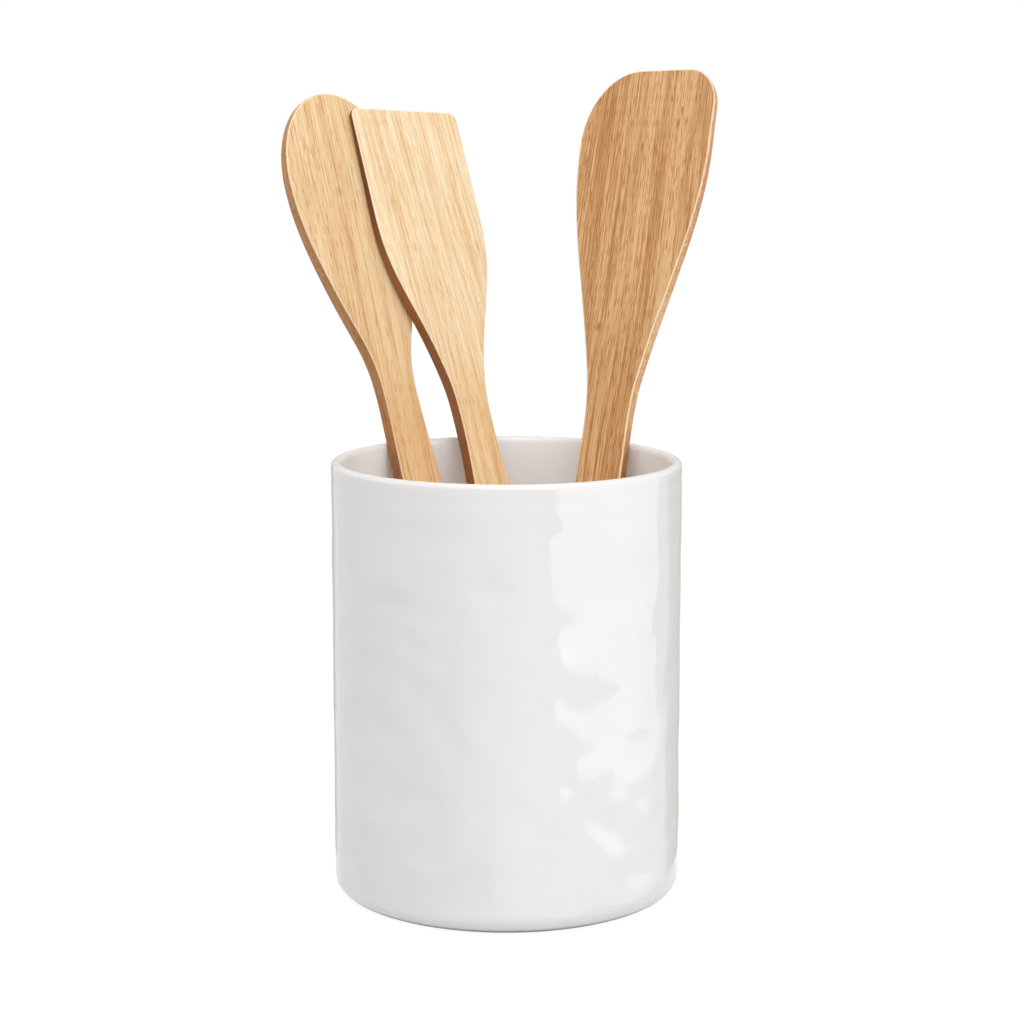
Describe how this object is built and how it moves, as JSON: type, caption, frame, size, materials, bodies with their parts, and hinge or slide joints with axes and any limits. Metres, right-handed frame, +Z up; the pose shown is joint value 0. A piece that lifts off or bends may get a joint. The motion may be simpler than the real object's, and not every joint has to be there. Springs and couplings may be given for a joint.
{
  "type": "utensil crock",
  "caption": "Tall white glazed crock with a rounded lip and flat base, holding a flat wooden round spatula, a square-ended turner and a spatula with rounded corners.",
  "frame": {"origin": "centre of the crock's flat base, on the worktop", "axes": "+Z up along the crock's axis; the utensils lean back towards +Y, and the pictured side faces -Y; +X to the right seen from there"},
  "size_m": [0.1749, 0.1878, 0.3107],
  "materials": {
    "glaze": "gloss white glaze",
    "light_beech": "smooth, oiled, pale",
    "brown_beech": "smooth, oiled, browner"
  },
  "bodies": {
    "crock": {"crock": "glaze"},
    "round_spatula": {"round_spatula": "light_beech"},
    "turner": {"turner": "light_beech"},
    "corner_spatula": {"corner_spatula": "brown_beech"}
  },
  "joints": [
    {"name": "round_spatula_lift", "type": "slide", "parent": "crock", "child": "round_spatula", "axis": [-0.243, 0.3436, 0.9071], "range_m": [0, 0.19]},
    {"name": "turner_lift", "type": "slide", "parent": "crock", "child": "turner", "axis": [-0.2014, 0.3627, 0.9099], "range_m": [0, 0.19]},
    {"name": "corner_spatula_lift", "type": "slide", "parent": "crock", "child": "corner_spatula", "axis": [0.1413, 0.4311, 0.8912], "range_m": [0, 0.19]}
  ]
}
